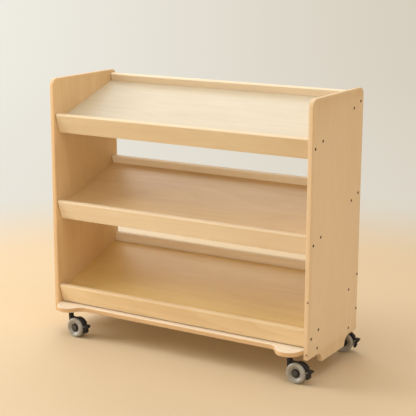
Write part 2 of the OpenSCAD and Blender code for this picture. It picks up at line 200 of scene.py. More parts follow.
def finish_of(name):
    """An empty node material: the material, its shader, and two short hands, one to add a node and one to
    set a socket."""
    material = bpy.data.materials.new(name)
    material.use_nodes = True
    tree = material.node_tree
    tree.nodes.clear()
    shader = tree.nodes.new("ShaderNodeBsdfPrincipled")
    output = tree.nodes.new("ShaderNodeOutputMaterial")
    tree.links.new(shader.outputs[0], output.inputs[0])

    def add(kind, settings=None, **sockets):
        """A node of that kind, with its settings and sockets: a socket is a number, a colour or another
        output."""
        made = tree.nodes.new("ShaderNode" + kind)
        for key, value in (settings or {}).items():
            setattr(made, key, value)
        for key, value in sockets.items():
            put(made, key, value)
        return made

    def put(made, key, value):
        """Sets one socket, by its name with _ for a space or by its number as n0, n1 and so on."""
        by_number = key[0] == "n" and key[1:].isdigit()
        socket = made.inputs[int(key[1:]) if by_number else key.replace("_", " ")]
        if isinstance(value, bpy.types.NodeSocket):
            tree.links.new(value, socket)
        else:
            socket.default_value = value

    return material, shader, add, put


def sums(add, kind, *values, clamp=False):
    """One step of arithmetic between outputs or numbers, held between 0 and 1 if clamp is set."""
    sockets = {f"n{i}": value for i, value in enumerate(values)}
    return add("Math", {"operation": kind, "use_clamp": clamp}, **sockets).outputs[0]


def mix(add, share, first, second, blend="MIX"):
    """The first colour passing into the second by the share, or into the product of both where blend is
    MULTIPLY. A colour is red, green and blue, or an output."""
    first, second = ((*c, 1) if isinstance(c, tuple) else c for c in (first, second))
    settings = {"data_type": "RGBA", "blend_type": blend}
    return add("Mix", settings, Factor=share, n6=first, n7=second).outputs[2]


def ramp(add, value, stops, smooth="EASE"):
    """A colour ramp through [place, grey or colour] stops."""
    made = add("ValToRGB", Fac=value)
    made.color_ramp.interpolation = smooth
    for i, (at, colour) in enumerate(stops):
        element = made.color_ramp.elements[i] if i < 2 else made.color_ramp.elements.new(at)
        element.position = at
        element.color = (*(colour if isinstance(colour, tuple) else (colour,) * 3), 1)
    return made.outputs[0]


def veneer(name, along, pale, dark, seed, figure=0.35, edge=(1.0, 0.98, 0.94), skin_line_and_shade=0.2,
           knots=(), edge_paling_share=1.0):
    """Lacquered plywood. Noises drawn out along the grain add up to the tone between pale and dark: broad
    and cloudy patches, streaks, fibres, rings, which are contour lines of one more noise, and short pores.
    Where the board's edge shows, that colour is times the edge's, every second ply is darker, and thin
    glue lines part the plies. A line below each face veneer is darkened by a share given for each board:
    a ply line that is also painted shade along the rounded edges. Rounded edges are made paler towards
    cream, in patches and by a share given for each board: rubbed wear with a painted highlight. Each knot
    is a dark spot that fades from 1.9 to 3.8 mm away from its place."""
    grain_tilt, ring_count = (0.012, 0.017, 0.014), 15.0
    # The last brown here darkens the line under each face veneer: a ply line that is also painted shade
    # along the rounded edges.
    cross_ply, glue_brown, skin_line_shade_brown = (0.90, 0.86, 0.79), (0.55, 0.42, 0.30), (0.80, 0.62, 0.42)
    # The first colour here is the cream that the rounded edges pass into: rubbed wear with a painted
    # highlight.
    edge_highlight_cream, knot_brown = (1.0, 0.93, 0.80), (0.20, 0.10, 0.045)
    material, shader, add, put = finish_of(name)
    where = add("TexCoord").outputs["Object"]
    place = add("Mapping", Vector=where, Location=seed, Rotation=grain_tilt).outputs[0]

    def noise(across, length, detail=2.0, rough=0.5, twist=0.0):
        """Noise from 0 to 1, by its scale across the grain and along it."""
        scale = [across, across, across]
        scale[along] = length
        drawn = add("VectorMath", {"operation": "MULTIPLY"}, n0=place, n1=scale).outputs[0]
        return add("TexNoise", Vector=drawn, Scale=1.0, Detail=detail, Roughness=rough,
                   Distortion=twist).outputs["Fac"]

    broad = noise(2.6, 1.1)
    cloud = noise(9.0, 3.5, 3.0, 0.55)
    field = noise(5.2, 0.75, 1.0, 0.4, 0.35)
    rings = sums(add, "FRACT", sums(add, "MULTIPLY", field, ring_count))
    ring = ramp(add, rings, [(0.0, 0.0), (0.72, 0.75), (0.86, 1.0), (1.0, 0.0)])
    shown = ramp(add, noise(3.1, 0.9, 1.0), [(0.38, 0.25), (0.66, 1.0)])
    fibre = noise(620.0, 9.0, 3.0, 0.6)
    streak = noise(120.0, 2.2, 3.0, 0.6)
    pore = ramp(add, noise(900.0, 60.0, 1.0), [(0.63, 0.0), (0.73, 1.0)])

    tone = 0.42
    for part, weight in ((broad, 0.75), (cloud, 0.65), (streak, 0.42), (fibre, 0.4)):
        tone = sums(add, "MULTIPLY_ADD", sums(add, "SUBTRACT", part, 0.5), weight, tone)
    tone = sums(add, "MULTIPLY_ADD", sums(add, "MULTIPLY", ring, shown), figure * 0.55, tone)
    tone = sums(add, "MULTIPLY_ADD", pore, 0.16, tone, clamp=True)
    face = mix(add, tone, pale, dark)

    depth = add("Attribute", {"attribute_name": "layer_mm"}).outputs["Fac"]
    layers = sums(add, "DIVIDE", depth, PLY_MM / PLIES)
    cross = sums(add, "GREATER_THAN", sums(add, "MODULO", layers, 2.0), 1.0)
    glue = ramp(add, sums(add, "FRACT", layers), [(0.0, 1.0), (0.09, 0.0), (0.91, 0.0), (1.0, 1.0)])
    inside = sums(add, "MULTIPLY", sums(add, "GREATER_THAN", depth, FACE_VENEER_MM),
                  sums(add, "LESS_THAN", depth, PLY_MM - FACE_VENEER_MM))
    grains = add("TexNoise", Vector=place, Scale=420.0, Detail=2.0).outputs["Fac"]
    darker = sums(add, "MULTIPLY_ADD", grains, 0.35, sums(add, "MULTIPLY", cross, 0.55))
    plies = ramp(add, darker, [(0.0, edge), (0.8, tuple(np.array(edge) * cross_ply))])
    cut_edge = mix(add, 1.0, face, plies, "MULTIPLY")
    cut_edge = mix(add, sums(add, "MULTIPLY", glue, 0.35), cut_edge, glue_brown, "MULTIPLY")
    colour = mix(add, inside, face, cut_edge)

    # Painted highlight with wear: the rounded edges, in patches, pass into cream.
    arris = add("Attribute", {"attribute_name": "arris"}).outputs["Fac"]
    edge_lightening = sums(add, "MULTIPLY", arris, ramp(add, cloud, [(0.35, 0.30 * edge_paling_share), (0.7, 0.55 * edge_paling_share)]))
    colour = mix(add, edge_lightening, colour, tuple((np.array(pale) + edge_highlight_cream) / 2))
    # Painted shade with a ply line: a darker band just under each face veneer, where it falls on the rounded
    # edges.
    off_middle = sums(add, "ABSOLUTE", sums(add, "SUBTRACT", depth, PLY_MM / 2))
    from_face = sums(add, "SUBTRACT", PLY_MM / 2, off_middle)
    skin_line_shade = ramp(add, sums(add, "DIVIDE", from_face, PLY_MM / 2),
                [(0.02, 0.0), (0.07, 1.0), (0.15, 1.0), (0.24, 0.0)])
    colour = mix(add, sums(add, "MULTIPLY", skin_line_shade, skin_line_and_shade), colour, skin_line_shade_brown, "MULTIPLY")
    for at in knots:
        away = add("VectorMath", {"operation": "DISTANCE"}, n0=where, n1=at).outputs["Value"]
        knot = ramp(add, sums(add, "MULTIPLY", away, 100.0), [(0.19, 0.95), (0.38, 0.0)])
        colour = mix(add, knot, colour, knot_brown)
    put(shader, "Base_Color", colour)
    rough = sums(add, "MULTIPLY_ADD", inside, 0.12, 0.44)
    rough = sums(add, "MULTIPLY_ADD", sums(add, "SUBTRACT", streak, 0.5), 0.22, rough)
    put(shader, "Roughness", rough)
    height = sums(add, "MULTIPLY_ADD", fibre, 0.6, sums(add, "MULTIPLY", pore, -0.8))
    height = sums(add, "MULTIPLY_ADD", sums(add, "MULTIPLY", inside, glue), -0.8, height)
    put(shader, "Normal", add("Bump", Strength=0.35, Distance=0.00012, Height=height).outputs[0])
    return material


def tray_place(level, s, n):
    """A point of a tray's tilted frame: its front lower corner, plus s up the slope from the lip's front
    face and n off the shelf's top."""
    origin = np.array([0.0, TRAY_Y, TRAY_Z + level * TRAY_PITCH])
    return origin + s * UP_SLOPE + n * OFF_SHELF


along_tray = (PLY / 2, SHELF_SCREW, TRAY_LENGTH - SHELF_SCREW)
screw_spots = [tray_place(level, s, -PLY / 2)[1:] for level in range(3) for s in along_tray]
screw_spots += [tray_place(level, TRAY_LENGTH - PLY / 2, -PLY / 2)[1:] for level in (1, 2)]
screw_spots += [(BACK - PLY / 2, z) for z in REAR_SCREWS]
screw_spots += [(y, BASE_Z + PLY / 2) for y in (-BASE_SCREW, BASE_SCREW)]
low_corner_z = CUT_Z + CUT_R + LOW_CORNER_R
foot_ease = np.array([(0.0325, 0.0006), (0.0340, 0.0)])
side_outline = np.concatenate([
    arc((FRONT + LOW_CORNER_R, low_corner_z), LOW_CORNER_R, 180, 270, 5),
    arc((FRONT + FRONT_CUT, CUT_Z), CUT_R, 90, 6, 14),
    foot_ease + (FRONT + FRONT_CUT, PANEL_Z),
    foot_ease[::-1] * (-1, 1) + (BACK - REAR_CUT, PANEL_Z),
    arc((BACK - REAR_CUT, CUT_Z), CUT_R, 174, 90, 14),
    arc((BACK - LOW_CORNER_R, low_corner_z), LOW_CORNER_R, 270, 360, 5),
    arc((BACK - TOP_CORNER_R, PANEL_TOP - TOP_CORNER_R), TOP_CORNER_R, 0, 90, 12),
    arc((FRONT + TOP_CORNER_R, PANEL_TOP - TOP_CORNER_R), TOP_CORNER_R, 90, 180, 12)])
# Painted light: the two panels are one plywood but carry different tones, the left one warmer for the warm
# shade on its inner face, the right one greyer with paler edges for the light on it.
for side, word, seed, pale, dark, edge, knots in (
        (-1, "left", (3.1, 7.7, 1.3), (0.88, 0.66, 0.385), (0.685, 0.455, 0.22), (0.97, 0.95, 0.91), ()),
        (1, "right", (11.4, 2.2, 5.9), (0.84, 0.675, 0.455), (0.655, 0.475, 0.275), (1.05, 1.04, 1.02),
         [(KNOT_X, FRONT, z) for z in KNOTS_Z])):
    skin = veneer(f"panel_veneer_{word}", 2, pale, dark, seed, figure=0.25, edge=edge, skin_line_and_shade=1.0,
                  knots=knots)
    outline = side_outline[::side] * (side, 1)
    axes = ((0, side, 0), (0, 0, 1), (side, 0, 0), (side * IN_SIDE, 0, 0))
    spots = [(side * y, z, HOLE_MOUTH_R, HOLE_R, HOLE_DEPTH) for y, z in screw_spots]
    panel = routed_board(f"panel_{word}", outline, PANEL_ARRIS, axes, skin, spots)
    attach(panel, "case")
    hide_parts(f"side_{word}")

# Base board
# A plywood board between the panels, just above their cut-outs. Two round ears in front, cut in one with
# it and run into the front edge with a hollow, reach out over the front casters and stop just short of
# the panels. It is drawn past the panels' inner faces and cut off square there.

BASE_ARRIS = 0.0028
EAR_X, EAR_R, HOLLOW_R = 0.399, 0.0415, 0.028
NOTCH_BACK, NOTCH_SIDE = 0.0004, 0.0008
LONG_END = IN_SIDE + 0.004
hollow_run = np.sqrt((EAR_R + HOLLOW_R) ** 2 - HOLLOW_R ** 2)
touch = np.degrees(np.arcsin(HOLLOW_R / (EAR_R + HOLLOW_R)))
left_ear = np.concatenate([
    [(-LONG_END, FRONT + NOTCH_BACK), (-EAR_X - EAR_R - NOTCH_SIDE, FRONT + NOTCH_BACK)],
    arc((-EAR_X, FRONT), EAR_R, 181, 360 - touch, 34),
    arc((-EAR_X + hollow_run, FRONT - HOLLOW_R), HOLLOW_R, 180 - touch, 90, 14)[1:]])
base_outline = np.concatenate([left_ear, left_ear[::-1] * (-1, 1), [(LONG_END, BACK), (-LONG_END, BACK)]])
# Painted highlight: the base's pale is near cream white for the bright light and sheen on the ears' tops.
board_skin = veneer("base_veneer", 0, (0.92, 0.85, 0.72), (0.77, 0.64, 0.47), (2.2, 5.1, 8.3), figure=0.3,
                    edge=(0.80, 0.60, 0.37), edge_paling_share=0.4)
base = routed_board("base", base_outline, BASE_ARRIS, ((1, 0, 0), (0, 1, 0), (0, 0, 1), (0, 0, BASE_Z)),
                    board_skin, clip=(0, -IN_SIDE, IN_SIDE))
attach(base, "case")
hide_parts("base_board")

# Rear board
# A plain plywood board that stands on the base board behind the bottom tray and closes the case at the
# back. It is screwed through both panels.

REAR_LOW, REAR_HIGH, REAR_ARRIS = BASE_Z + PLY, 0.271, 0.002
# Painted light: the rear board's pale tone is raised for the light that reaches it through the trays.
rear_skin = veneer("rear_veneer", 0, (0.95, 0.85, 0.67), (0.74, 0.59, 0.40), (9.2, 1.4, 3.3))
rear_outline = np.array([(REAR_LOW, -LONG_END), (REAR_HIGH, -LONG_END), (REAR_HIGH, LONG_END),
                         (REAR_LOW, LONG_END)])
rear = routed_board("rear_board_ply", rear_outline, REAR_ARRIS,
                    ((0, 0, 1), (1, 0, 0), (0, 1, 0), (0, BACK - PLY, 0)), rear_skin,
                    clip=(1, -IN_SIDE, IN_SIDE))
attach(rear, "case")
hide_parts("rear_board")

# Shelves
# Three inclined plywood boards. Each butts against the back of its lip and the front of its rail with
# crisp edges; the bottom one has no rail and runs on to the rear board.

SHELF_ARRIS, BOTTOM_SHELF_END, RAIL_AT = 0.0004, 0.3267, TRAY_LENGTH - PLY
# Painted light: the three shelves are one plywood, but the top one's tone is paler and greyer for the sheen
# on it, and the bottom one's the deepest orange for the shade in the lowest tray.
for level, word, end, seed, pale, dark in (
        (0, "bottom", BOTTOM_SHELF_END, (4.4, 9.1, 2.7), (0.765, 0.55, 0.22), (0.60, 0.385, 0.13)),
        (1, "middle", RAIL_AT, (7.3, 3.9, 12.1), (0.785, 0.58, 0.32), (0.615, 0.40, 0.185)),
        (2, "top", RAIL_AT, (1.9, 12.3, 6.6), (0.65, 0.58, 0.44), (0.515, 0.41, 0.265))):
    skin = veneer(f"shelf_veneer_{word}", 0, pale, dark, seed, figure=0.3)
    corners = np.array([(-LONG_END, PLY), (LONG_END, PLY), (LONG_END, end), (-LONG_END, end)])
    shelf = routed_board(f"shelf_{word}_ply", corners, SHELF_ARRIS,
                         ((1, 0, 0), UP_SLOPE, OFF_SHELF, tray_place(level, 0, -PLY)), skin,
                         clip=(0, -IN_SIDE, IN_SIDE))
    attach(shelf, "case")
    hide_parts(f"shelf_{word}")

# Lips and rails
# Strips of the same plywood, square to the shelves: a lip along the front of each tray and a rail along
# the back of the upper two. Edges and ends are rounded over. The ends stop just short of the panels, and
# the bottom lip just above the base board, which leaves thin dark lines.

LIP_LOW, LIP_HIGH, LIP_ARRIS = -0.0385, 0.0235, 0.0025
END_GAP, BASE_GAP = 0.0018, 0.0012
# Painted light: the strips are one plywood, but each tone is fitted to its place: the top lip greyer with
# paler edges for the light and sheen on it, the middle rail palest for light reaching it through the trays.
for word, level, start, seed, pale, dark, edge in (
        ("lip_bottom", 0, 0.0, (5.7, 4.2, 1.1),
         (0.875, 0.715, 0.46), (0.70, 0.50, 0.27), (0.98, 0.97, 0.96)),
        ("lip_middle", 1, 0.0, (8.8, 6.3, 4.9),
         (0.85, 0.73, 0.535), (0.685, 0.515, 0.325), (1.05, 1.03, 1.0)),
        ("lip_top", 2, 0.0, (2.6, 10.7, 9.4),
         (0.775, 0.655, 0.455), (0.62, 0.465, 0.27), (1.12, 1.12, 1.12)),
        ("rail_middle", 1, RAIL_AT, (13.1, 1.2, 7.8),
         (0.96, 0.87, 0.68), (0.81, 0.65, 0.45), (1.05, 1.03, 1.0)),
        ("rail_top", 2, RAIL_AT, (6.4, 8.5, 11.2),
         (0.86, 0.75, 0.57), (0.69, 0.535, 0.35), (1.1, 1.08, 1.05))):
    lowest = word == "lip_bottom"
    skin = veneer(f"{word}_veneer", 0, pale, dark, seed, figure=0.5, edge=edge, edge_paling_share=0.5 if lowest else 1.0)
    x = IN_SIDE - END_GAP
    low = LIP_LOW + BASE_GAP if lowest else LIP_LOW
    corners = np.array([(low, -x), (LIP_HIGH, -x), (LIP_HIGH, x), (low, x)])
    strip = routed_board(f"{word}_ply", corners, LIP_ARRIS,
                         (OFF_SHELF, (1, 0, 0), UP_SLOPE, tray_place(level, start, 0)), skin)
    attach(strip, "case")
    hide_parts(word)

# Screws
# Connector screws of dark bronzed steel with hexagonal sockets, driven flush into the countersunk holes
# of the panels.


def metal(name, pale, dark, rough, bright=1.0):
    """Plated steel: fine brushed specks and a few dull patches in the plating."""
    speck_scale = 900.0
    material, shader, add, put = finish_of(name)
    where = add("TexCoord").outputs["Object"]
    specks = add("TexNoise", Vector=where, Scale=speck_scale, Detail=3.0).outputs["Fac"]
    patches = add("TexNoise", Vector=where, Scale=speck_scale / 6, Detail=2.0).outputs["Fac"]
    put(shader, "Base_Color", mix(add, ramp(add, patches, [(0.35, 0.0), (0.7, 1.0)]), pale, dark))
    put(shader, "Metallic", bright)
    put(shader, "Roughness", sums(add, "MULTIPLY_ADD", specks, 0.2, rough - 0.1))
    put(shader, "Normal", add("Bump", Strength=0.2, Distance=0.0001, Height=specks).outputs[0])
    return material


def coat(finish, *names):
    """Gives CAD nodes whose shape is right their finish."""
    for name in names:
        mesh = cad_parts[name].data
        mesh.materials.clear()
        mesh.materials.append(finish)


bronze = metal("bronzed_steel", (0.115, 0.055, 0.016), (0.065, 0.030, 0.009), 0.6, 0.75)
coat(bronze, "screws_left", "screws_right")

# Stems, inserts, axles and pins
# Bright zinc-plated steel, turned and cold headed. The threaded inserts are let into the base board from
# below. The stems' places are given with the headings of their casters, in degrees.

STEMS = {"front_left": (-0.399, -0.1645, -7), "front_right": (0.399, -0.1645, -3),
         "rear_left": (-0.399, 0.150, 14), "rear_right": (0.399, 0.150, 12)}
zinc = metal("bright_zinc", (0.62, 0.63, 0.64), (0.48, 0.49, 0.50), 0.33)
coat(zinc, "stem_inserts", *(f"{piece}_{c}" for c in STEMS for piece in ("stem", "axle", "pedal_pin")))

# Caster housings
# Each is one moulding in black nylon: a web between the wheels, a neck that turns on the stem, and a hood
# over the backs of the wheels that thins out towards the top. It is pushed up on the stem and carries the
# axle and the pin.

TRAIL, WHEEL_R = 0.0275, 0.0315
PIN_REACH, PIN_ANGLE, PIN_BOSS_R = 0.0363, 12, 0.0038
WEB_W, WEB_ARRIS, WEB_R = 0.007, 0.0008, 0.0215
POLE_R = 0.00001


def moulded(name, pale, dark, rough, grain, depth, worn, gloss=0.3):
    """Moulded plastic or rubber: cloudy colour, a fine grained skin and paler rubbed arrises."""
    material, shader, add, put = finish_of(name)
    where = add("TexCoord").outputs["Object"]
    cloud = add("TexNoise", Vector=where, Scale=70.0, Detail=3.0, Roughness=0.6).outputs["Fac"]
    skin = add("TexNoise", Vector=where, Scale=grain, Detail=2.0).outputs["Fac"]
    colour = mix(add, ramp(add, cloud, [(0.3, 0.0), (0.72, 1.0)]), pale, dark)
    edge_lightening = sums(add, "MULTIPLY", add("Attribute", {"attribute_name": "arris"}).outputs["Fac"],
                  ramp(add, cloud, [(0.4, 0.15), (0.65, 0.7)]))
    put(shader, "Base_Color", mix(add, edge_lightening, colour, worn))
    put(shader, "Roughness", sums(add, "MULTIPLY_ADD", cloud, 0.24, rough - 0.12))
    put(shader, "Specular_IOR_Level", gloss)
    put(shader, "Normal", add("Bump", Strength=0.3, Distance=depth, Height=skin).outputs[0])
    return material


def bend_of(outline):
    """How tightly an outline bends outwards at each point, from 0 to 1: the turn there over the mean
    length of the sides beside it, times a millimetre."""
    on = np.roll(outline, -1, 0) - outline
    back = np.roll(on, 1, 0)
    turn = np.arctan2(back[:, 0] * on[:, 1] - back[:, 1] * on[:, 0], (back * on).sum(1))
    length = (np.linalg.norm(on, axis=1) + np.linalg.norm(back, axis=1)) / 2
    return np.clip(turn / length * 0.001, 0, 1)


def outward(points, faces):
    """The faces of a closed shell, turned to face outwards: reversed if the cones from the points' mean to
    the faces add up to a volume below nothing. A cone counts by the triple products of its face's first
    three corners and of its first, third and last."""
    middle = points.mean(0)
    a, b, c, d = (points[[f[i] for f in faces]] - middle for i in (0, 1, 2, -1))
    volume = (np.cross(a, b) * c).sum() + (np.cross(a, c) * d).sum()
    return faces if volume > 0 else [tuple(f)[::-1] for f in faces]


def turned(outline, place, columns, poles=False):
    """Points, faces and bend of a turned piece. Each point of the outline, [radius, height], goes round
    the axis: radius times the cosine and sine of the angle along two directions of the place, and height
    along its third. The outline is a closed loop, or runs from pole to pole, where a small flat face
    closes it."""
    angle = np.radians(np.arange(columns) * 360 / columns)
    u, v, w, origin = (np.asarray(x, float) for x in place)
    r, t = outline[:, 0, None, None], outline[:, 1, None, None]
    points = origin + r * (np.cos(angle)[:, None] * u + np.sin(angle)[:, None] * v) + t * w
    points = points.reshape(-1, 3)
    rows = np.arange(len(outline) + (not poles)) % len(outline)
    corner = rows[:, None] * columns + np.arange(columns)
    on = np.roll(corner, -1, 1)
    faces = [tuple(f) for f in np.stack([corner[:-1], on[:-1], on[1:], corner[1:]], 2).reshape(-1, 4)]
    faces = outward(points, faces)
    if poles:
        turn = 1 if faces[0][0] < columns and faces[0][1] == faces[0][0] + 1 else -1
        faces += [tuple(corner[0][::-turn]), tuple(corner[-1][::turn])]
    return points, faces, np.repeat(bend_of(outline), columns)


def joined(shells):
    """Several closed shells as one: their points one after another, and their faces numbered to suit."""
    starts = np.cumsum([0] + [len(s[0]) for s in shells[:-1]])
    faces = [tuple(int(i) + n for i in f) for s, n in zip(shells, starts) for f in s[1]]
    return np.concatenate([s[0] for s in shells]), faces, np.concatenate([s[2] for s in shells])


def polar(radius, degrees):
    """The point at that radius and angle: radius times the angle's cosine and sine."""
    return radius * np.array([np.cos(np.radians(degrees)), np.sin(np.radians(degrees))])


def caster_place(name, side=-1):
    """The axle's frame: along the heading, up and outwards on wheel a (side -1) or b (side 1), with the
    heading reversed on b to keep the frame right-handed; and the axle's middle."""
    x, y, heading = STEMS[name]
    a = np.radians(heading)
    ahead, out = np.array([np.cos(a), np.sin(a), 0]), side * np.array([-np.sin(a), np.cos(a), 0])
    middle = np.array([x, y, 0]) + TRAIL * ahead + np.array([0, 0, WHEEL_R])
    return -side * ahead, np.array([0, 0, 1.0]), out, middle


HOOD_R, HOOD_W, HOOD_EDGE, HOOD_GAP = 0.0305, 0.0172, 0.0022, 0.0008
HOOD_SHIFT, HOOD_LEAN, HOOD_LAP = 0.0095, 26, 0.0004
HOOD_AT = polar(HOOD_SHIFT, HOOD_LEAN)
HOOD_IN = WHEEL_R + HOOD_GAP
PIN_AT = polar(PIN_REACH, PIN_ANGLE)


def hood_reach(angle):
    """Distance from the axle to the hood's outside at an angle: where the ray leaves the hood's own
    circle, which is the ray's share of the centre plus the root of radius squared less the centre's
    distance from the ray squared."""
    along = HOOD_AT[0] * np.cos(angle) + HOOD_AT[1] * np.sin(angle)
    return along + np.sqrt(HOOD_R ** 2 - HOOD_AT @ HOOD_AT + along ** 2)


def hood_shell(place):
    """A soft-edged band swept round the axle. Its section is a closed loop of [radius, width] with two
    rounded outer corners, and at each angle it spans from the hollow over the tyre to the hood's circle.
    The first and last rows shrink towards the section's middle to round the ends, and are closed."""
    low_ends, high_ends, plain = [24, 24.25, 25], [85.6, 86], np.linspace(26, 85, 48)
    inner_ease, inner_chamfer, width_share, edge_lightening = 0.00025, 0.0003, 0.12, 0.7
    angle = np.radians(np.concatenate([low_ends, plain, high_ends]))
    shrink = np.concatenate([[0.45, 0.8, 0.96], np.ones(len(plain)), [0.9, 0.55]])[:, None]
    quarter = np.radians(np.linspace(0, 90, 7))
    half = HOOD_W / 2
    reach = hood_reach(angle)[:, None]
    soft = np.minimum(HOOD_EDGE, (reach - HOOD_IN) * 0.8)
    inner = np.broadcast_to([HOOD_IN + inner_ease, HOOD_IN], (len(angle), 2))
    r = np.concatenate([reach - soft * (1 - np.cos(quarter)), inner], 1)
    r = np.concatenate([r, r[:, ::-1]], 1)
    width = np.concatenate([half - HOOD_EDGE * (1 - np.sin(quarter)), [half, half - inner_chamfer]])
    width = np.concatenate([width, -width[::-1]])
    mid = (reach + HOOD_IN) / 2
    r = mid + (r - mid) * shrink
    width = width * (1 - (1 - shrink) * width_share)
    u, v, w, origin = place
    direction = np.cos(angle)[:, None, None] * u + np.sin(angle)[:, None, None] * v
    points = (origin + r[:, :, None] * direction + width[:, :, None] * w).reshape(-1, 3)
    n = r.shape[1]
    faces = [tuple(f) for f in quads(len(angle), n)]
    faces += [tuple(range(n))[::-1], tuple(range((len(angle) - 1) * n, len(angle) * n))]
    bend = np.zeros(r.shape)
    bend[:, np.r_[1:5, n - 5:n - 1]] = edge_lightening
    return points, outward(points, faces), bend.ravel()


web_outline = np.concatenate([
    arc((0, 0), WEB_R, 195, 345, 30),
    arc(PIN_AT, PIN_BOSS_R, -75, 62, 14),
    arc(HOOD_AT, HOOD_R - HOOD_LAP, 22, 88, 22),
    soft_corners([(0.0, 0.0325), (-0.0150, 0.0323), (-0.0202, 0.0345), (-0.0202, 0.0483), (-0.0348, 0.0483),
                  (-0.0348, 0.0158), (-0.0318, 0.0079)],
                 [0.001, 0.002, 0.004, 0, 0, 0.003, 0.003])])
neck_outline = soft_corners(
    [(0.0, 0.0574), (0.0082, 0.0574), (0.0082, 0.0742), (0.0078, 0.0746), (0.0078, 0.0752), (0.0082, 0.0756),
     (0.0082, 0.0798), (0.0041, 0.0798), (0.0041, 0.0700), (0.0, 0.0700)],
    [0, 0.0022, 0.0002, 0.0002, 0.0002, 0.0002, 0.0007, 0.0003, 0, 0])
neck_outline[:, 0] = np.maximum(neck_outline[:, 0], POLE_R)
black = moulded("black_nylon", (0.015, 0.014, 0.0145), (0.009, 0.0085, 0.009), 0.48, 2200.0, 0.00008,
                (0.042, 0.040, 0.039))
for name, (x, y, _) in STEMS.items():
    ahead, up, out, middle = caster_place(name)
    web = slab(web_outline, WEB_W, WEB_ARRIS, (ahead, up, out, middle - WEB_W / 2 * out))
    neck = turned(neck_outline, (ahead, -out, up, (x, y, 0)), 48, poles=True)
    points, faces, bend = joined([web, hood_shell((ahead, up, out, middle)), neck])
    housing = make(f"housing_{name}_nylon", points, faces, black, {"arris": bend})
    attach(housing, f"caster_{name}")
    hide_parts(f"housing_{name}")

# Brake pedals
# Black nylon too. Two cheeks ride on the pin beside the web, joined by the tab that the foot presses and
# by the shoe, whose hollow follows the pressed tyre. The core leaves a slot for the web and the end of
# the hood.

PRESS, SHOE_GAP, SLOT_R = 7, 0.0004, 0.0047
CHEEK_IN, CHEEK_W, CHEEK_ARRIS = 0.004, 0.0046, 0.0009
CORE_W, CORE_ARRIS = 0.0084, 0.0001
PIN_SINK = (0, 0, 0.0024, 0.00205, 0.0005)
shoe_arc = arc(-polar(PIN_REACH, PIN_ANGLE + PRESS), WHEEL_R + SHOE_GAP, -3, -17, 12)
slot_arc = arc((0, 0), SLOT_R, 74, -122, 20)
back_and_tab = [(-0.0036, -0.0222, 0.0008), (0.0048, -0.0218, 0.0042), (0.0064, -0.0150, 0.0035),
                (0.0048, -0.0090, 0.0018), (0.0150, 0.0014, 0.0008), (0.0148, 0.0046, 0.0009),
                (0.0055, 0.0070, 0.0050)]
eye_corners = [(-0.0042, 0.0042, 0.0042), (-0.0042, -0.0012, 0.0035), (-0.0006, -0.0082, 0.0012)]
slot_corners = [(0.0011, 0.0058, 0.0), *((*p, 0.0) for p in slot_arc), eye_corners[-1]]


def pedal_outline(corners):
    """The given corners, each [along, up, radius] from the pin, then the hollow of the shoe: an arc about
    the place that the axle has, seen from the pedal, when the pedal is pressed."""
    all_points = np.array([*corners, *((*p, 0.0) for p in shoe_arc)])
    return soft_corners(all_points[:, :2], all_points[:, 2])


cheek_outline = pedal_outline(back_and_tab + eye_corners)
core_outline = pedal_outline(back_and_tab + slot_corners)
for name in STEMS:
    shells = []
    for side in (-1, 1):
        u, v, w, middle = caster_place(name, side)
        at = middle - side * PIN_AT[0] * u + PIN_AT[1] * v + CHEEK_IN * w
        outline = (cheek_outline * (-side, 1))[::-side]
        shells.append(slab(outline, CHEEK_W, CHEEK_ARRIS, (u, v, w, at), [PIN_SINK]))
    u, v, w, middle = caster_place(name)
    at = middle + PIN_AT[0] * u + PIN_AT[1] * v - CORE_W / 2 * w
    shells.append(slab(core_outline, CORE_W, CORE_ARRIS, (u, v, w, at)))
    points, faces, bend = joined(shells)
    pedal = make(f"pedal_{name}_nylon", points, faces, black, {"arris": bend})
    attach(pedal, f"brake_{name}")
    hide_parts(f"pedal_{name}")

# Wheels
# Grey thermoplastic rubber tyres with full shoulders and a dished outer face, moulded round black nylon
# hubs; a fine parting groove runs round the tread. A dark cap presses on the end of each hub's barrel and
# leaves a narrow black ring between it and the rim.

TYRE_IN, TYRE_OUT, SHOULDER_R, SHOULDER_END = 0.005, 0.0173, 0.0061, 0.0253
RIM_R, RIM_DROP, DISH_IN_R, DISH_OUT_R, DISH_DEPTH = 0.0132, 0.0004, 0.0136, 0.0252, 0.0055
PARTING, GROOVE_W, GROOVE_D = 0.0109, 0.0002, 0.00015
BARREL_R, CAP_R, CAP_IN, DOME_R = 0.007, 0.0098, 0.0147, 0.040
out_in = np.linspace(1, 0, 15)
dish = np.column_stack([DISH_IN_R + (DISH_OUT_R - DISH_IN_R) * out_in,
                        TYRE_OUT - DISH_DEPTH * (1 - 3 * out_in ** 2 + 2 * out_in ** 3)])
tyre_outline = np.concatenate([
    soft_corners([(RIM_R, TYRE_IN), (WHEEL_R, TYRE_IN), (WHEEL_R, PARTING - GROOVE_W),
                  (WHEEL_R - GROOVE_D, PARTING), (WHEEL_R, PARTING + GROOVE_W), (WHEEL_R, TYRE_OUT),
                  (SHOULDER_END, TYRE_OUT)],
                 [0.0003, 0.004, 0, 0, 0, SHOULDER_R, 0.0], 9)[:-1],
    dish, [(RIM_R, dish[-1, 1] - RIM_DROP)]])
hub_outline = soft_corners(
    [(0.0031, 0.004), (BARREL_R, 0.004), (BARREL_R, 0.0075), (0.012, 0.0075), (0.012, TYRE_IN),
     (RIM_R, TYRE_IN), (RIM_R, 0.0145), (0.0120, 0.0145), (0.0120, 0.0105), (BARREL_R, 0.0105),
     (BARREL_R, 0.0135), (0.0031, 0.0135)],
    [0, 0, 0, 0, 0, 0, 0.0004, 0.0004, 0.0006, 0.0006, 0, 0], 3)
ring = np.array([CAP_R, 0.0078, 0.00765, 0.0073, 0.00715, 0.0055, 0.0035, 0.00175, 0.0013, 0.0006, POLE_R])
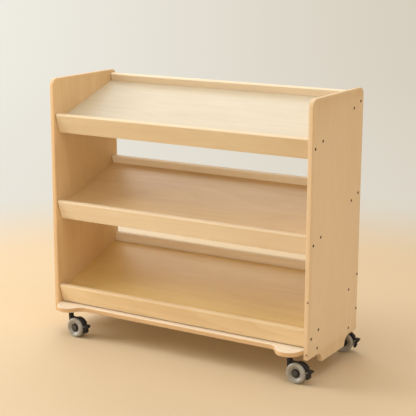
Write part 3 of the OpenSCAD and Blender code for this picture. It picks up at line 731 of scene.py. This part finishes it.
groove_and_dimple = np.array([0, 0, 0.0002, 0.0002, 0, 0, 0, 0, 0.0001, 0.0002, 0.0002])
dome = TYRE_OUT - (DOME_R - np.sqrt(DOME_R ** 2 - ring ** 2)) - groove_and_dimple
cap_outline = np.concatenate([
    [(POLE_R, CAP_IN), (BARREL_R, CAP_IN), (BARREL_R, 0.0105), (0.0085, 0.0105), (0.0085, CAP_IN)],
    soft_corners([(0.0085, CAP_IN), (CAP_R, CAP_IN), (CAP_R, dome[0]), (0.0088, dome[0] + 0.0002)],
                 [0, 0.0003, 0.0005, 0], 4)[1:-1],
    np.column_stack([ring, dome])[1:]])
tyre_skin = moulded("tyre_rubber", (0.36, 0.348, 0.31), (0.285, 0.274, 0.243), 0.34, 1400.0, 0.00008,
                    (0.43, 0.415, 0.375), 0.6)
cap_skin = moulded("cap_plastic", (0.062, 0.057, 0.051), (0.048, 0.044, 0.040), 0.42, 1800.0, 0.00006,
                   (0.10, 0.093, 0.085))
for name in STEMS:
    for side, letter in ((-1, "a"), (1, "b")):
        place = caster_place(name, side)
        for kind, outline, columns, finish, slot in (("tyre", tyre_outline, 96, tyre_skin, "grey_tyre"),
                                                     ("hub", hub_outline, 64, black, "black_plastic"),
                                                     ("cap", cap_outline, 64, cap_skin, "dark_cap")):
            points, faces, bend = turned(outline, place, columns, poles=kind == "cap")
            piece = make(f"{kind}_{letter}_{name}_turned", points, faces, finish, {"arris": bend})
            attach(piece, f"wheel_{letter}_{name}")
            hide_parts(f"{kind}_{letter}_{name}")

# Floor, light and camera
# A pale paper floor that curves up into a wall all round; from a little way out the camera sees, instead
# of the wall's lighting, a glow with painted light falloff, lighter at the view's left and darker at its
# right. There are five soft lamps, the strongest a window at the upper left, and the camera stands at the
# photograph's place.

COVE_START, COVE_R = 7, 2
ACROSS_VIEW = (0.857, 0.515, 0)


def studio_paper():
    """Matt paper whose tone wanders a little. For the camera it passes, from 1.15 to 2.4 m away from the
    middle, into a glow with painted light falloff across the wall, which runs from warm white at the view's
    left to grey brown at its right."""
    material, shader, add, put = finish_of("studio_paper")
    where = add("TexCoord").outputs["Object"]
    tone = add("TexNoise", Vector=where, Scale=1.3, Detail=2.0).outputs["Fac"]
    put(shader, "Base_Color", mix(add, tone, (0.69, 0.545, 0.355), (0.67, 0.525, 0.34)))
    put(shader, "Roughness", 0.75)
    away = add("VectorMath", {"operation": "LENGTH"}, n0=where).outputs["Value"]
    far = ramp(add, sums(add, "DIVIDE", away, 10.0), [(0.115, 0.0), (0.24, 1.0)])
    seen = sums(add, "MULTIPLY", far, add("LightPath").outputs["Is Camera Ray"])
    across = add("VectorMath", {"operation": "DOT_PRODUCT"}, n0=where, n1=ACROSS_VIEW).outputs["Value"]
    # Painted light falloff across the backdrop: lighter at the view's left, darker at its right.
    wall = ramp(add, sums(add, "MULTIPLY_ADD", across, 0.25, 0.5),
                [(0.0, (0.86, 0.84, 0.76)), (1.0, (0.68, 0.62, 0.52))], "LINEAR")
    glow = add("Emission", Color=wall, Strength=1.0).outputs[0]
    both = add("MixShader", n0=seen, n1=shader.outputs[0], n2=glow).outputs[0]
    tree = material.node_tree
    tree.links.new(both, tree.nodes["Material Output"].inputs[0])
    return material


rise = np.radians(np.linspace(0, 90, 16))
wall_r = COVE_START + COVE_R
radius = np.concatenate([[0.02, 1, 2, 3.5, 5.5], COVE_START + COVE_R * np.sin(rise), [wall_r, wall_r]])
height = np.concatenate([np.zeros(5), COVE_R * (1 - np.cos(rise)), [4.0, 7.0]])
turns = np.radians(np.arange(0, 360, 5))
sweep = np.stack([radius[:, None] * np.cos(turns), radius[:, None] * np.sin(turns),
                  np.repeat(height[:, None], len(turns), 1)], 2).reshape(-1, 3)
cove_faces = [tuple(f) for f in quads(len(radius), len(turns))] + [tuple(range(len(turns)))]
floor = make("floor", sweep, cove_faces, studio_paper())

scene = bpy.context.scene
world = bpy.data.worlds.new("studio")
world.use_nodes = True
scene.world = world
world.node_tree.nodes["Background"].inputs["Color"].default_value = (1.0, 0.938, 0.839, 1)
world.node_tree.nodes["Background"].inputs["Strength"].default_value = 0.71


def lamp(name, place, aim, size, power, colour):
    """A square soft lamp at a place, turned to its aim."""
    data = bpy.data.lights.new(name, "AREA")
    data.size, data.energy, data.color = size, power, colour
    made = bpy.data.objects.new(name, data)
    made.location = place
    made.rotation_euler = (Vector(aim) - Vector(place)).to_track_quat("-Z", "Y").to_euler()
    scene.collection.objects.link(made)


lamp("window", (-4.0, -1.2, 1.8), (0, 0, 0.4), 2.4, 143, (0.976, 0.99, 1.0))
lamp("front", (0.2, -4.2, 0.9), (0, 0, 0.4), 2.4, 41, (1.0, 0.97, 0.92))
lamp("side", (4.0, -0.6, 1.4), (0, 0, 0.4), 2.4, 26, (1.0, 0.99, 0.97))
lamp("sky", (-2.2, 2.6, 3.6), (0, 0, 0.6), 2.8, 58, (0.986, 1.0, 1.0))
lamp("top", (0.0, -0.5, 4.0), (0, 0, 0.4), 2.4, 38, (0.979, 0.993, 1.0))

CAMERA_AT = (1.9054, -3.1381, 1.2781)
eye = bpy.data.cameras.new("camera")
eye.lens, eye.sensor_width, eye.sensor_fit = 103.98, 36.0, "HORIZONTAL"
eye.clip_start, eye.clip_end = 0.05, 60
yaw, pitch, roll = np.radians((31.001, 12.875, 0.207))
look = np.array([-np.sin(yaw) * np.cos(pitch), np.cos(yaw) * np.cos(pitch), -np.sin(pitch)])
right = np.array([np.cos(yaw), np.sin(yaw), 0.0])
up = np.cross(right, look)
right, up = np.cos(roll) * right + np.sin(roll) * up, -np.sin(roll) * right + np.cos(roll) * up
stand = np.eye(4)
stand[:3] = np.column_stack([right, up, -look, CAMERA_AT])
camera = bpy.data.objects.new("camera", eye)
camera.matrix_world = Matrix(stand.tolist())
scene.collection.objects.link(camera)
scene.camera = camera
scene.view_settings.view_transform = "Standard"
